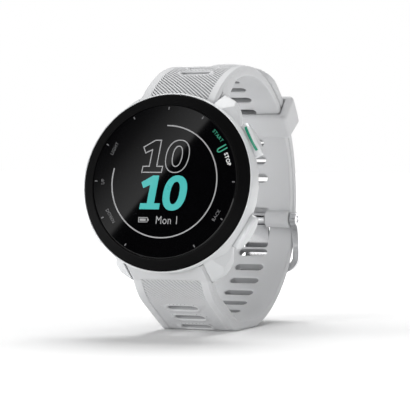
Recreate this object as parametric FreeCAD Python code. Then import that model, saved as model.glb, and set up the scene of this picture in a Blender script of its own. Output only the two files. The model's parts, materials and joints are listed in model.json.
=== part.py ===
import FreeCAD, Part
import math
import os

from FreeCAD import Placement, Rotation, Vector

# GPS running watch, buckled and standing on its strap.
# Millimetres. X is across the strap, +Z is up, and the dial faces -Y, leaning back.
# The origin is the middle of the flat patch of strap that the watch stands on.

# ---------------------------------------------------------------- driving dimensions
TILT = 10.2               # how far the dial leans back from upright, degrees
DIAL_Y = -28.08           # centre of the glass, front to back
DIAL_Z = 36.44            # centre of the glass above the table

# the head, in its own axes: x across, u up the dial, w out of the glass (w = 0 on the glass)
BEZEL_RADIUS = 20.95
CASE_RADIUS = 21.4
CASE_BACK_W = -10.4
LENS_RADIUS = 18.2
SEAT_W = -1.9             # ledge that carries the lens gasket and the bezel
CAVITY_RADIUS = 17.3
COVER_RADIUS = 17.9
COVER_W = (-10.7, -9.9)   # outer and inner face of the back cover's rim
SENSOR_RADIUS = 6.0
SENSOR_W = -11.6          # proudest point of the back

# strap and lugs
STRAP_WIDTH = 20.0
STRAP_THICKNESS = 2.4
LAYER_GAP = 0.25          # between the short strap and the tail lying on it
LUG_INNER_X = 10.15
BAR_U, BAR_W = 20.35, -8.0
BAR_RADIUS = 0.75
BAR_TIP_RADIUS = 0.4
BAR_REACH = 11.2         # tip of a spring bar from the middle
LEVER_X = 7.2             # where the release lever of a spring bar sits
FIT = 0.05                # radial clearance of a running fit
SLOT_LENGTH, SLOT_WIDTH, SLOT_PITCH = 7.6, 2.2, 5.1
STRAP_BEVEL = 0.6         # along the outer edges of both straps

# side-view lines of the strap's outer face, from the dial centre: start, heading, moves.
# A move is (radius, turn in degrees, + is left) or (length, 0) for a straight.
SHORT_START, SHORT_HEADING = (7.11, 17.99), 46.4
SHORT_MOVES = [(31.5, -116.0), (36.5, -26.9)]
LONG_START, LONG_HEADING = (4.11, -23.49), -62.5
LONG_MOVES = [(15.2, 32.5), (12.28, 0), (5.0, 30.0), (9.9, 0), (21.0, 15.0), (40.6, 31.0)]
TAIL_END_TURN = 53.0      # how far the tail follows the short strap's big arc
TIP_RADIUS = 9.0          # plan-view rounding of the tail's tip

# buckle
BUCKLE_Y, BUCKLE_Z = 59.2, -10.5     # bar axis, from the dial centre
BARREL_RADIUS = 2.2
BUCKLE_BAR_RADIUS = 0.75
NOTCH_HALF = 3.75
TANG_HALF = 3.4
FRAME_INNER_X, FRAME_OUTER_X = 10.35, 11.9
FRAME_BOTTOM_Z = -24.4
TANG_LIFT = 6.0           # degrees that the tang can lift off the crossbar
KEEPER_ANGLE = 37.0       # where the keeper sits on the short strap's big arc, degrees
KEEPER_HALF_ANGLE = 7.0
KEEPER_WALL = 1.8
KEEPER_ROUND = 1.2
KEEPER_GAP = 0.25

# buttons: name, clock angle from +x, how far the cap stands out (radius), cap length
BUTTONS = [
    ("start", 30.0, 23.1, 8.8),
    ("back", -30.0, 22.9, 8.8),
    ("light", 150.0, 22.8, 7.4),
    ("up", 180.0, 22.8, 7.4),
    ("down", 210.0, 22.8, 7.4),
]
BUTTON_W = -6.4           # height of the button axis in the case side
BUTTON_HEIGHT = 4.0
CROWN = 0.7               # rounding of a cap's outer face
POCKET_FLOOR = 19.0
CAP_INNER = 19.8
STEM_RADIUS = 0.9
STEM_TIP = 16.2
CLIP_RADIUS = 1.6
CLIP_FACES = (16.75, 17.05)
SWITCH_FACE = 15.4

X_AXIS, Y_AXIS, Z_AXIS = Vector(1, 0, 0), Vector(0, 1, 0), Vector(0, 0, 1)
HEAD = Placement(Vector(0, DIAL_Y, DIAL_Z), Rotation(X_AXIS, 90 - TILT))
ORIGIN_SHIFT = Vector(0, DIAL_Y, DIAL_Z)


# ---------------------------------------------------------------- small helpers
def cylinder(radius, length, at=(0, 0, 0), along=(0, 0, 1)):
    return Part.makeCylinder(radius, length, Vector(*at), Vector(*along))


def ring(outer, inner, low, high):
    """Flat ring on the w axis."""
    blank = cylinder(outer, high - low, (0, 0, low))
    return blank.cut(cylinder(inner, high - low + 2, (0, 0, low - 1)))


def box(x, y, z):
    """Box from three (low, high) pairs."""
    low = Vector(x[0], y[0], z[0])
    return Part.makeBox(x[1] - x[0], y[1] - y[0], z[1] - z[0], low)


def revolve(points):
    """Solid of revolution about the w axis from (radius, w) points."""
    loop = [Vector(r, 0, w) for r, w in points]
    face = Part.Face(Part.makePolygon(loop + loop[:1]))
    return face.revolve(Vector(0, 0, 0), Z_AXIS, 360)


def obround(length, width, depth):
    """Slot-shaped block: length along x, width along y, depth along +z from z = 0."""
    half, radius = length / 2 - width / 2, width / 2
    block = box((-half, half), (-radius, radius), (0, depth))
    for x in (-half, half):
        block = block.fuse(cylinder(radius, depth, (x, 0, 0)))
    return block.removeSplitter()


def fuse_all(shapes):
    whole = shapes[0]
    for shape in shapes[1:]:
        whole = whole.fuse(shape)
    return whole.removeSplitter()


def export(name, shape, frame=None):
    """Write one node, moved from its own axes into the watch's frame."""
    placed = shape.copy()
    if frame is not None:
        placed.Placement = frame.multiply(placed.Placement)
    os.makedirs("parts", exist_ok=True)
    placed.exportStep("parts/" + name + ".step")
    return placed


def export_head(name, shape):
    return export(name, shape, HEAD)


def export_side(name, shape):
    """Write a node drawn from the dial centre in the upright frame."""
    return export(name, shape, Placement(ORIGIN_SHIFT, Rotation()))


# ---------------------------------------------------------------- side-view lines
class SideLine:
    """A chain of tangent arcs and straights in the y-z plane, measured by its length."""

    def __init__(self, start, heading, moves):
        self.runs = []
        y, z, angle = start[0], start[1], math.radians(heading)
        for size, turn in moves:
            bend = math.radians(turn)
            length = size * abs(bend) if turn else size
            curve = bend / length
            self.runs.append((length, y, z, angle, curve))
            y, z, angle = self.step(y, z, angle, curve, length)
        self.length = sum(run[0] for run in self.runs)

    @staticmethod
    def step(y, z, angle, curve, length):
        if curve == 0:
            return y + length * math.cos(angle), z + length * math.sin(angle), angle
        end = angle + curve * length
        y += (math.sin(end) - math.sin(angle)) / curve
        z += (math.cos(angle) - math.cos(end)) / curve
        return y, z, end

    def pose(self, station):
        """y, z and heading at a distance along the line."""
        left = station
        for run in self.runs:
            if left <= run[0] or run is self.runs[-1]:
                return self.step(run[1], run[2], run[3], run[4], left)
            left -= run[0]

    def point(self, station, side):
        """Point at a distance along the line, moved to its left by side."""
        y, z, angle = self.pose(station)
        return Vector(0, y - side * math.sin(angle), z + side * math.cos(angle))

    def edges(self, low, high, side):
        """Edges of the line between two distances, moved to the left by side."""
        out, start = [], 0.0
        for run in self.runs:
            a, b = max(low, start), min(high, start + run[0])
            start += run[0]
            if b - a < 1e-6:
                continue
            first, last = self.point(a + 1e-9, side), self.point(b - 1e-9, side)
            if run[4] == 0:
                out.append(Part.makeLine(first, last))
            else:
                out.append(Part.Arc(first, self.point((a + b) / 2, side), last).toShape())
        return out


def biarc_moves(start, heading, end, end_heading):
    """Two tangent arcs that join one point and heading to another."""
    h1, h2 = math.radians(heading), math.radians(end_heading)
    t1, t2 = (math.cos(h1), math.sin(h1)), (math.cos(h2), math.sin(h2))
    v = (end[0] - start[0], end[1] - start[1])
    v_t = v[0] * (t1[0] + t2[0]) + v[1] * (t1[1] + t2[1])
    lead = 2 * (1 - t1[0] * t2[0] - t1[1] * t2[1])
    v_v = v[0] ** 2 + v[1] ** 2
    d = (-v_t + math.sqrt(v_t ** 2 + lead * v_v)) / lead
    middle = [(start[i] + end[i] + d * (t1[i] - t2[i])) / 2 for i in (0, 1)]
    moves, here, angle = [], start, h1
    for there in (middle, end):
        dy, dz = there[0] - here[0], there[1] - here[1]
        chord = math.hypot(dy, dz)
        half = math.atan2(dz, dy) - angle
        half = (half + math.pi) % (2 * math.pi) - math.pi
        moves.append((abs(chord / (2 * math.sin(half))), math.degrees(2 * half)))
        angle += 2 * half
        here = there
    return moves


SHORT = SideLine(SHORT_START, SHORT_HEADING, SHORT_MOVES)
SHORT_ARC_RADIUS = SHORT_MOVES[0][0]


def long_line():
    """The long strap: under the watch, out past the buckle bar, up over the short strap."""
    lift = LAYER_GAP + STRAP_THICKNESS
    lower = SideLine(LONG_START, LONG_HEADING, LONG_MOVES)
    y, z, heading = lower.pose(lower.length)
    join = SHORT.point(SHORT.length, lift)
    back_heading = math.degrees(SHORT.pose(SHORT.length)[2]) + 180
    moves = list(LONG_MOVES)
    moves += biarc_moves((y, z), math.degrees(heading), (join.y, join.z), back_heading)
    moves.append((SHORT_MOVES[1][0] + lift, -SHORT_MOVES[1][1]))
    moves.append((SHORT_ARC_RADIUS + lift, TAIL_END_TURN))
    return SideLine(LONG_START, LONG_HEADING, moves)


LONG = long_line()


def head_to_side(u, w):
    """A point of the head's x = 0 plane, measured from the dial centre, upright."""
    t = math.radians(TILT)
    y = u * math.sin(t) - w * math.cos(t)
    z = u * math.cos(t) + w * math.sin(t)
    return Vector(0, y, z)


def arc_centre():
    """Centre of the short strap's big arc, which the keeper slides round."""
    return SHORT.point(0, -SHORT_ARC_RADIUS)


# ---------------------------------------------------------------- case and glass
# outlines of a lug: (x, u) from the front, (x, w) along the strap, (radius, w) round the case
LUG_PLAN = [(8.0, 13.0), (14.9, 13.0), (14.5, 17.0), (13.2, 20.6), (12.2, 25.0), (8.0, 25.0)]
LUG_CROSS = [(8.0, -1.0), (11.6, -1.0), (12.6, -4.0), (14.8, -9.2), (14.0, -12.5), (8.0, -12.5)]
LUG_ROUND = [(0.0, -2.2), (21.2, -2.2), (22.8, -5.4), (24.3, -8.5), (24.5, -9.2), (24.3, -9.9),
             (23.4, -10.9), (22.0, -11.2), (0.0, -11.2)]


def rounded_prism(points, along, rounding):
    """Extrude a closed outline and round the corners on its outer side."""
    corners = [Vector(*p) for p in points]
    block = Part.Face(Part.makePolygon(corners + corners[:1])).extrude(along)
    outer = []
    for edge in block.Edges:
        tangent = edge.tangentAt(edge.FirstParameter)
        lengthwise = abs(tangent.dot(along)) > 0.999 * along.Length
        if lengthwise and edge.CenterOfMass.x > corners[0].x + 0.1:
            outer.append(edge)
    return block.makeFillet(rounding, outer)


def lug(sign_x, sign_u):
    """One lug: what its three outlines share."""
    block = rounded_prism([(x, u, -13.0) for x, u in LUG_PLAN], Vector(0, 0, 13.0), 0.6)
    block = block.common(rounded_prism([(x, 11.0, w) for x, w in LUG_CROSS], Vector(0, 15, 0), 0.6))
    block = block.common(revolve(LUG_ROUND))
    block = block.cut(box((0, LUG_INNER_X), (10, 30), (-14, 0)))
    block = block.cut(cylinder(BAR_TIP_RADIUS + FIT, BAR_REACH - 9.9, (10.0, BAR_U, BAR_W), (1, 0, 0)))
    if sign_u < 0:
        block = block.mirror(Vector(0, 0, 0), Y_AXIS)
    if sign_x < 0:
        block = block.mirror(Vector(0, 0, 0), X_AXIS)
    return block


def case_barrel():
    """Round case wall with the lip outside the bezel and the ledge under the glass."""
    wall = [
        (BEZEL_RADIUS + 0.05, SEAT_W), (BEZEL_RADIUS + 0.05, -1.45),
        (21.2, -1.4), (CASE_RADIUS, -1.9), (CASE_RADIUS, -4.4), (21.1, -6.6),
        (20.3, -8.8), (19.5, -10.0), (18.9, CASE_BACK_W), (COVER_RADIUS + 0.1, CASE_BACK_W),
        (COVER_RADIUS + 0.1, -9.6), (CAVITY_RADIUS, -9.6), (CAVITY_RADIUS, -2.8),
        (16.4, -2.8), (16.4, SEAT_W),
    ]
    return revolve(wall)


SCREW_ANGLES = (62, 118, 242, 298)
SCREW_CIRCLE = 16.0


def screw_places():
    for angle in SCREW_ANGLES:
        a = math.radians(angle)
        yield SCREW_CIRCLE * math.cos(a), SCREW_CIRCLE * math.sin(a)


def button_frame(angle):
    """Axes of a button: its own +z points outward from the case at its clock angle."""
    turn = Rotation(Z_AXIS, angle).multiply(Rotation(Y_AXIS, 90))
    return Placement(Vector(0, 0, 0), turn)


def button_block(length, height, low, high, angle):
    """Oval block between two radii, its length along the case rim."""
    rim = Part.Ellipse(Vector(0, 0, 0), length / 2, height / 2).toShape()
    oval = Part.Face(Part.Wire(rim)).extrude(Vector(0, 0, high - low))
    oval.rotate(Vector(0, 0, 0), Z_AXIS, 90)
    oval.translate(Vector(-BUTTON_W, 0, low))
    oval.Placement = button_frame(angle).multiply(oval.Placement)
    return oval


def axis_point(angle, radius):
    """Point on a button's axis."""
    turn = math.radians(angle)
    return Vector(radius * math.cos(turn), radius * math.sin(turn), BUTTON_W)


def button_rod(radius, low, high, angle):
    """Round rod between two radii on a button's axis."""
    rod = cylinder(radius, high - low, (-BUTTON_W, 0, low))
    rod.Placement = button_frame(angle).multiply(rod.Placement)
    return rod


def case_body():
    body = case_barrel()
    bosses = []
    for x, u in screw_places():
        bosses.append(cylinder(1.7, 4.6, (x, u, -9.3)))
    keep_inside = cylinder(CAVITY_RADIUS + 0.3, 10, (0, 0, -9.6))
    for boss in bosses:
        body = body.fuse(boss.common(keep_inside))
    strap_room = box((-LUG_INNER_X, LUG_INNER_X), (18.75, 30), (-14, -2.8))
    body = body.cut(strap_room)
    body = body.cut(strap_room.mirror(Vector(0, 0, 0), Y_AXIS))
    for sign_x in (1, -1):
        for sign_u in (1, -1):
            outside = lug(sign_x, sign_u).cut(cylinder(CAVITY_RADIUS + 1.2, 20, (0, 0, -15)))
            body = body.fuse(outside)
    for x, u in screw_places():
        body = body.cut(cylinder(0.6, 4.0, (x, u, -9.6)))
    for name, angle, proud, length in BUTTONS:
        body = body.cut(button_block(length + 0.36, BUTTON_HEIGHT + 0.36, POCKET_FLOOR, 26, angle))
        body = body.cut(button_rod(STEM_RADIUS + FIT, 15, 20, angle))
        body = body.cut(button_rod(CLIP_RADIUS + 0.4, 15, CLIP_FACES[1] + 0.3, angle))
        body = body.cut(button_rod(1.5, POCKET_FLOOR - 0.75, POCKET_FLOOR + 0.1, angle))
    return body.removeSplitter()


def bezel_ring():
    return revolve([
        (LENS_RADIUS + 0.05, SEAT_W), (BEZEL_RADIUS, SEAT_W), (BEZEL_RADIUS, -1.45),
        (20.7, -1.2), (18.6, -0.08), (18.35, -0.05), (LENS_RADIUS + 0.05, -0.15),
    ])


def lens():
    under = SEAT_W + 0.5
    return revolve([(0, under), (LENS_RADIUS, under), (LENS_RADIUS, -0.2),
                    (LENS_RADIUS - 0.25, 0), (0, 0)])


def back_cover():
    rim_low, rim_high = COVER_W
    cover = revolve([
        (0, -9.4), (17.1, -9.4), (17.1, rim_high), (COVER_RADIUS, rim_high),
        (COVER_RADIUS, -10.5), (17.6, rim_low), (11.5, -10.9), (7.6, -11.35),
        (SENSOR_RADIUS + 0.7, -11.45), (0, -11.45),
    ])
    cover = cover.cut(cylinder(SENSOR_RADIUS + 0.05, 2.0, (0, 0, -12.4)))
    cover = cover.cut(cylinder(SENSOR_RADIUS - 0.6, 3.0, (0, 0, -12.0)))
    port = obround(8.0, 2.6, 1.0)
    port.translate(Vector(0, -12.6, -11.5))
    cover = cover.cut(port)
    for x in CONTACT_X:
        cover = cover.cut(cylinder(0.6, 3, (x, -12.6, -12)))
    for x, u in screw_places():
        cover = cover.cut(cylinder(0.75, 4, (x, u, -12)))
        cover = cover.cut(cylinder(1.4, 1.0, (x, u, -11.0)))
    return cover


CONTACT_X = (-2.4, -0.8, 0.8, 2.4)


def back_screws():
    screws = []
    for x, u in screw_places():
        head = cylinder(1.25, 0.7, (x, u, -10.75))
        shank = cylinder(0.55, 4.2, (x, u, -10.1))
        cross = box((x - 0.7, x + 0.7), (u - 0.13, u + 0.13), (-10.9, -10.45))
        turned = box((x - 0.13, x + 0.13), (u - 0.7, u + 0.7), (-10.9, -10.45))
        screws.append(head.fuse(shank).cut(cross).cut(turned))
    return Part.makeCompound(screws)


def charge_contacts():
    pins = []
    for x in CONTACT_X:
        pin = cylinder(0.5, 2.0, (x, -12.6, -10.75))
        flange = cylinder(0.7, 0.3, (x, -12.6, -9.35))
        pins.append(pin.fuse(flange).removeSplitter())
    return Part.makeCompound(pins)


# ---------------------------------------------------------------- inside the case
def main_board():
    board = cylinder(14.0, 0.8, (0, 0, -5.4))
    for angle in (90, 270):
        notch = box((-2.0, 2.0), (12.6, 15.0), (-6, -4))
        notch.rotate(Vector(0, 0, 0), Z_AXIS, angle - 90)
        board = board.cut(notch)
    return board


def inner_frame():
    plate = cylinder(15.2, 0.6, (0, 0, -4.3))
    plate = plate.cut(box((-9, 9), (-6, 8), (-5, -3)))
    return plate


def antenna():
    loop = ring(16.9, 15.9, -4.3, -3.1)
    wedge = box((-20, 20), (-20, -4), (-6, -2))
    return loop.cut(wedge)


def battery():
    cell = box((-8.0, 8.0), (-3.5, 10.5), (-8.2, -5.6))
    upright = [e for e in cell.Edges if abs(e.tangentAt(e.FirstParameter).z) > 0.9]
    return cell.makeFillet(1.2, upright)


def shield_can():
    can = box((-7.0, 2.0), (-11.3, -4.5), (-7.2, -5.5))
    return can.cut(box((-6.8, 1.8), (-11.1, -4.7), (-7.0, -5.4)))


def vibration_motor():
    return cylinder(3.3, 2.4, (6.6, -7.9, -8.2))


def buzzer():
    return cylinder(3.6, 0.7, (-7.6, 7.4, -9.3))


def sensor_board():
    board = cylinder(5.2, 0.7, (0, 0, -9.3))
    parts = [board]
    for x, u, size in ((0, 0, 1.4), (2.6, 0, 0.9), (-2.6, 0, 0.9), (0, 2.6, 0.9), (0, -2.6, 0.9)):
        parts.append(box((x - size / 2, x + size / 2), (u - size / 2, u + size / 2), (-9.9, -9.3)))
    return fuse_all(parts)


# ---------------------------------------------------------------- buttons
def button_cap(angle, proud, length, accent):
    """Oval cap with a crowned face, on a stem through the case wall."""
    oval = button_block(length, BUTTON_HEIGHT, CAP_INNER, proud + 1, angle)
    oval = oval.common(cylinder(proud, 20, (0, 0, -15)))
    crown = [e for e in oval.Edges if e.CenterOfMass.distanceToPoint(axis_point(angle, proud)) < 1.6
             and e.Length > 4]
    oval = oval.makeFillet(CROWN, crown)
    stem = button_rod(STEM_RADIUS, STEM_TIP, CAP_INNER + 0.5, angle)
    whole = oval.fuse(stem)
    whole = whole.cut(button_groove(angle))
    if accent:
        whole = whole.cut(accent_strip(angle, proud, length, 0.0))
    return whole.removeSplitter()


def button_groove(angle):
    """Groove round the stem that the retaining clip snaps into."""
    low, high = CLIP_FACES
    rod = button_rod(STEM_RADIUS + 0.5, low - 0.03, high + 0.03, angle)
    return rod.cut(button_rod(0.62, low - 1, high + 1, angle))


def accent_strip(angle, proud, length, lift):
    """Coloured strip along the front edge of a cap, following its oval."""
    low, high = proud - CROWN - 0.62, proud - CROWN - 0.02
    outer = button_block(length + 2 * lift, BUTTON_HEIGHT + 2 * lift, low, high, 0)
    inner = button_block(length - 0.7, BUTTON_HEIGHT - 0.7, low - 1, high + 1, 0)
    front = box((15, 25), (-3.2, 3.2), (BUTTON_W + 0.9, 0))
    strip = outer.cut(inner).common(front)
    strip.rotate(Vector(0, 0, 0), Z_AXIS, angle)
    return strip


def button_clip(angle):
    """Open retaining clip on the inner end of a stem."""
    low, high = CLIP_FACES
    disc = button_rod(CLIP_RADIUS, low, high, angle)
    disc = disc.cut(button_rod(0.65, low - 1, high + 1, angle))
    mouth = box((low - 1, high + 1), (-0.55, 0.55), (BUTTON_W - 3, BUTTON_W))
    mouth.rotate(Vector(0, 0, 0), Z_AXIS, angle)
    return disc.cut(mouth)


def button_seals():
    """Rubber seals in the pocket floors, one round each stem."""
    seals = []
    for name, angle, proud, length in BUTTONS:
        seal = button_rod(1.45, POCKET_FLOOR - 0.7, POCKET_FLOOR - 0.05, angle)
        seals.append(seal.cut(button_rod(STEM_RADIUS + FIT, 15, 22, angle)))
    return Part.makeCompound(seals)


def button_switches():
    """Side switches that the stems press."""
    switches = []
    for name, angle, proud, length in BUTTONS:
        body = box((SWITCH_FACE - 1.1, SWITCH_FACE - 0.25), (-1.6, 1.6), (BUTTON_W - 0.9, BUTTON_W + 0.9))
        body.rotate(Vector(0, 0, 0), Z_AXIS, angle)
        nub = button_rod(0.5, SWITCH_FACE - 0.3, SWITCH_FACE, angle)
        switches.append(body.fuse(nub).removeSplitter())
    return Part.makeCompound(switches)


# ---------------------------------------------------------------- strap
def slot_cutter(line, station):
    """Through slot across the strap at a distance along its side line."""
    depth = STRAP_THICKNESS + 3
    y, z, angle = line.pose(station)
    cutter = obround(SLOT_LENGTH, SLOT_WIDTH, 2 * depth)
    cutter.translate(Vector(0, 0, -depth))
    cutter.rotate(Vector(0, 0, 0), X_AXIS, math.degrees(angle))
    cutter.translate(Vector(0, y, z))
    return cutter


def side_solid(edges, half_width):
    """Extrude a closed side-view outline across the watch."""
    wire = Part.Wire(Part.__sortEdges__(edges))
    face = Part.Face(wire)
    face.translate(Vector(-half_width, 0, 0))
    return face.extrude(Vector(2 * half_width, 0, 0))


def strap_head(line, inward, join_station, up):
    """Outline edges of the thick end between the lugs: wrist side, case side, outer face."""
    corners = [
        line.point(join_station, inward * STRAP_THICKNESS),
        head_to_side(up * 21.2, -11.2), head_to_side(up * 19.4, -11.2),
        head_to_side(up * 18.9, -10.6), head_to_side(up * 18.9, -3.0),
        head_to_side(up * 19.35, -3.0), line.point(0, 0),
    ]
    return [Part.makeLine(a, b) for a, b in zip(corners, corners[1:])]


SHORT_SLOTS = [14.9 + SLOT_PITCH * i for i in range(12)]
LONG_SLOTS = [10.4 + SLOT_PITCH * i for i in range(21)]


def bevel(strap, line):
    """Chamfer the two long edges of the outer face."""
    edges = []
    for edge in strap.Edges:
        middle = edge.valueAt((edge.FirstParameter + edge.LastParameter) / 2)
        if abs(middle.x) < STRAP_WIDTH / 2 - 0.06:
            continue
        start = 0.0
        for run in line.runs:
            here = line.point(min(start + run[0] / 2, line.length - 0.01), 0)
            if math.hypot(here.y - middle.y, here.z - middle.z) < 0.05:
                edges.append(edge)
            start += run[0]
    return strap.makeChamfer(STRAP_BEVEL, edges)


def upper_strap():
    """Short strap: from the upper lugs over the top and down to the buckle bar."""
    join = 16.0
    end = SHORT.length
    edges = SHORT.edges(0, end, 0)
    edges += SHORT.edges(join, end, -STRAP_THICKNESS)
    edges += strap_head(SHORT, -1, join, 1)
    edges.append(Part.makeLine(SHORT.point(end, 0), SHORT.point(end, -STRAP_THICKNESS)))
    strap = bevel(side_solid(edges, STRAP_WIDTH / 2 - 0.05), SHORT)
    barrel = cylinder(BARREL_RADIUS, STRAP_WIDTH - 0.1,
                      (-STRAP_WIDTH / 2 + 0.05, BUCKLE_Y, BUCKLE_Z), (1, 0, 0))
    strap = strap.fuse(barrel).removeSplitter()
    strap = strap.cut(cylinder(BUCKLE_BAR_RADIUS + FIT, 30, (-15, BUCKLE_Y, BUCKLE_Z), (1, 0, 0)))
    strap = strap.cut(box((-NOTCH_HALF, NOTCH_HALF), (50, 64), (-14, -7.6)))
    for station in SHORT_SLOTS:
        strap = strap.cut(slot_cutter(SHORT, station))
    return cut_bar_seat(strap, 1)


def lower_strap():
    """Long strap: from the lower lugs, under the watch and up the back to the tip."""
    join = 3.0
    tip = LONG.length
    edges = LONG.edges(0, tip, 0)
    edges += LONG.edges(join, tip, STRAP_THICKNESS)
    edges += strap_head(LONG, 1, join, -1)
    edges.append(Part.makeLine(LONG.point(tip, 0), LONG.point(tip, STRAP_THICKNESS)))
    strap = bevel(side_solid(edges, STRAP_WIDTH / 2 - 0.05), LONG)
    strap = strap.cut(tip_corners())
    for station in LONG_SLOTS:
        strap = strap.cut(slot_cutter(LONG, station))
    strap = strap.cut(tang_room())
    return cut_bar_seat(strap, -1)


def tip_corners():
    """What is cut away to round the tail's tip in plan."""
    y, z, angle = LONG.pose(LONG.length)
    outer = box((-12, 12), (-TIP_RADIUS, 3), (-6, 12))
    rounding = cylinder(STRAP_WIDTH / 2 - 0.05, 18, (0, -STRAP_WIDTH / 2 + 0.05, -6))
    corners = outer.cut(rounding)
    corners.rotate(Vector(0, 0, 0), X_AXIS, math.degrees(angle))
    corners.translate(Vector(0, y, z))
    return corners


def cut_bar_seat(strap, sign_u):
    """Bore for a spring bar, and the window that its release lever looks out of."""
    at = head_to_side(sign_u * BAR_U, BAR_W)
    bore = cylinder(BAR_RADIUS + FIT, 30, (-15, at.y, at.z), (1, 0, 0))
    window = box((LEVER_X - 1.9, LEVER_X + 0.7), (-0.55, 0.55), (-7.0, 0))
    window.rotate(Vector(0, 0, 0), X_AXIS, 90 - TILT)
    window.translate(at)
    return strap.cut(bore).cut(window)


def keeper():
    """Moulded loop that holds the tail down on the short strap."""
    centre = arc_centre()
    inside_low = SHORT_ARC_RADIUS - STRAP_THICKNESS - KEEPER_GAP
    inside_high = SHORT_ARC_RADIUS + LAYER_GAP + STRAP_THICKNESS + KEEPER_GAP
    inner_half = STRAP_WIDTH / 2 + KEEPER_GAP

    def drum(radius, half):
        return cylinder(radius, 2 * half, (-half, centre.y, centre.z), (1, 0, 0))

    outer_half = inner_half + KEEPER_WALL
    solid = drum(inside_high + KEEPER_WALL, outer_half).cut(drum(inside_low - 1.5, outer_half + 1))
    hole = drum(inside_high, inner_half).cut(drum(inside_low, inner_half + 1))
    wedge = Part.makeCylinder(60, 40, Vector(-20, centre.y, centre.z), X_AXIS,
                              2 * KEEPER_HALF_ANGLE)
    wedge.rotate(Vector(0, centre.y, centre.z), X_AXIS, KEEPER_ANGLE - KEEPER_HALF_ANGLE - 90)
    solid = solid.common(wedge)
    solid = solid.makeFillet(KEEPER_ROUND, solid.Edges)
    return solid.cut(hole)


# ---------------------------------------------------------------- buckle
def frame_spine(offset):
    """Side-view arc of the frame's arms, moved outward by offset."""
    return Part.Arc(Vector(0, 59.3 + offset, -10.5), Vector(0, 61.1 + offset, -17.2),
                    Vector(0, 59.9 + offset, FRAME_BOTTOM_Z)).toShape()


def buckle_frame():
    """Polished frame: two bowed arms and the crossbar, with ears on the bar."""
    inner, outer = frame_spine(-0.95), frame_spine(0.95)
    ends = [Part.makeLine(inner.Vertexes[i].Point, outer.Vertexes[i].Point) for i in (0, 1)]
    band = side_solid([inner, outer] + ends, FRAME_OUTER_X)
    ears = cylinder(1.75, 2 * FRAME_OUTER_X, (-FRAME_OUTER_X, BUCKLE_Y, BUCKLE_Z), (1, 0, 0))
    blank = band.fuse(ears)
    low = FRAME_BOTTOM_Z
    outline = front_panel(FRAME_OUTER_X, low, 0, 4.2)
    hollow = front_panel(FRAME_INNER_X, low + 2.1, 0, 2.0)
    frame = blank.common(outline.cut(hollow)).removeSplitter()
    return frame.cut(cylinder(BUCKLE_BAR_RADIUS + FIT, 30, (-15, BUCKLE_Y, BUCKLE_Z), (1, 0, 0)))


def front_panel(half, low, high, corner):
    """Block in front view with its two lower corners rounded."""
    block = box((-half, half), (50, 70), (low, high))
    edges = [e for e in block.Edges
             if abs(e.CenterOfMass.z - low) < 0.01 and abs(abs(e.CenterOfMass.x) - half) < 0.01]
    return block.makeFillet(corner, edges)


def buckle_bar():
    bar = cylinder(BUCKLE_BAR_RADIUS, 2 * FRAME_OUTER_X - 0.2,
                   (-FRAME_OUTER_X + 0.1, BUCKLE_Y, BUCKLE_Z), (1, 0, 0))
    rims = [e for e in bar.Edges if len(e.Vertexes) == 1]
    return bar.makeChamfer(0.15, rims)


def tang_arc(offset):
    return Part.Arc(Vector(0, 59.9 + offset, -11.6), Vector(0, 62.35 + offset, -18.0),
                    Vector(0, 61.8 + offset, -24.2)).toShape()


def tang_tongue(half, thickness):
    inner, outer = tang_arc(-thickness / 2), tang_arc(thickness / 2)
    ends = [Part.makeLine(inner.Vertexes[i].Point, outer.Vertexes[i].Point) for i in (0, 1)]
    return side_solid([inner, outer] + ends, half)


def buckle_tang():
    """Wide tongue on the bar that goes out through a slot and lies on the crossbar."""
    hub = cylinder(1.65, 2 * TANG_HALF, (-TANG_HALF, BUCKLE_Y, BUCKLE_Z), (1, 0, 0))
    tang = tang_tongue(TANG_HALF, 1.1).fuse(hub).removeSplitter()
    return tang.cut(cylinder(BUCKLE_BAR_RADIUS + FIT, 30, (-15, BUCKLE_Y, BUCKLE_Z), (1, 0, 0)))


def tang_room():
    """Opening that the tang stretches in the long strap, over its whole lift."""
    rooms = []
    steps = 4
    for i in range(-1, steps + 1):
        tongue = tang_tongue(TANG_HALF + 0.2, 1.5)
        lift = TANG_LIFT * i / steps
        tongue.rotate(Vector(0, BUCKLE_Y, BUCKLE_Z), X_AXIS, lift)
        rooms.append(tongue)
    return fuse_all(rooms)


# ---------------------------------------------------------------- spring bars
def spring_bar(sign_u):
    """Quick-release bar: slotted tube, fixed tip, and sliding tip with its lever."""
    at = head_to_side(sign_u * BAR_U, BAR_W)
    where = Placement(at, Rotation(X_AXIS, 90 - TILT))
    tube = cylinder(BAR_RADIUS, 18.8, (-9.4, 0, 0), (1, 0, 0))
    tube = tube.cut(cylinder(BAR_TIP_RADIUS + FIT, 17.0, (-7.4, 0, 0), (1, 0, 0)))
    window = box((LEVER_X - 1.7, LEVER_X + 0.5), (-0.35, 0.35), (-2, 0))
    tube = tube.cut(window).cut(cylinder(BAR_TIP_RADIUS, 3.0, (-10.4, 0, 0), (1, 0, 0)))
    fixed = cylinder(BAR_TIP_RADIUS, BAR_REACH - 8.2, (-BAR_REACH, 0, 0), (1, 0, 0))
    pin = cylinder(BAR_TIP_RADIUS, 6.8, (BAR_REACH - 6.8, 0, 0), (1, 0, 0))
    neck = cylinder(0.28, 3.6, (LEVER_X, 0, -3.4), (0, 0, 1))
    knob = cylinder(0.45, 0.7, (LEVER_X, 0, -4.0), (0, 0, 1))
    release = pin.fuse(neck).fuse(knob).removeSplitter()
    for shape in (tube, fixed, release):
        shape.Placement = where.multiply(shape.Placement)
    return tube, fixed, release


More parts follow.
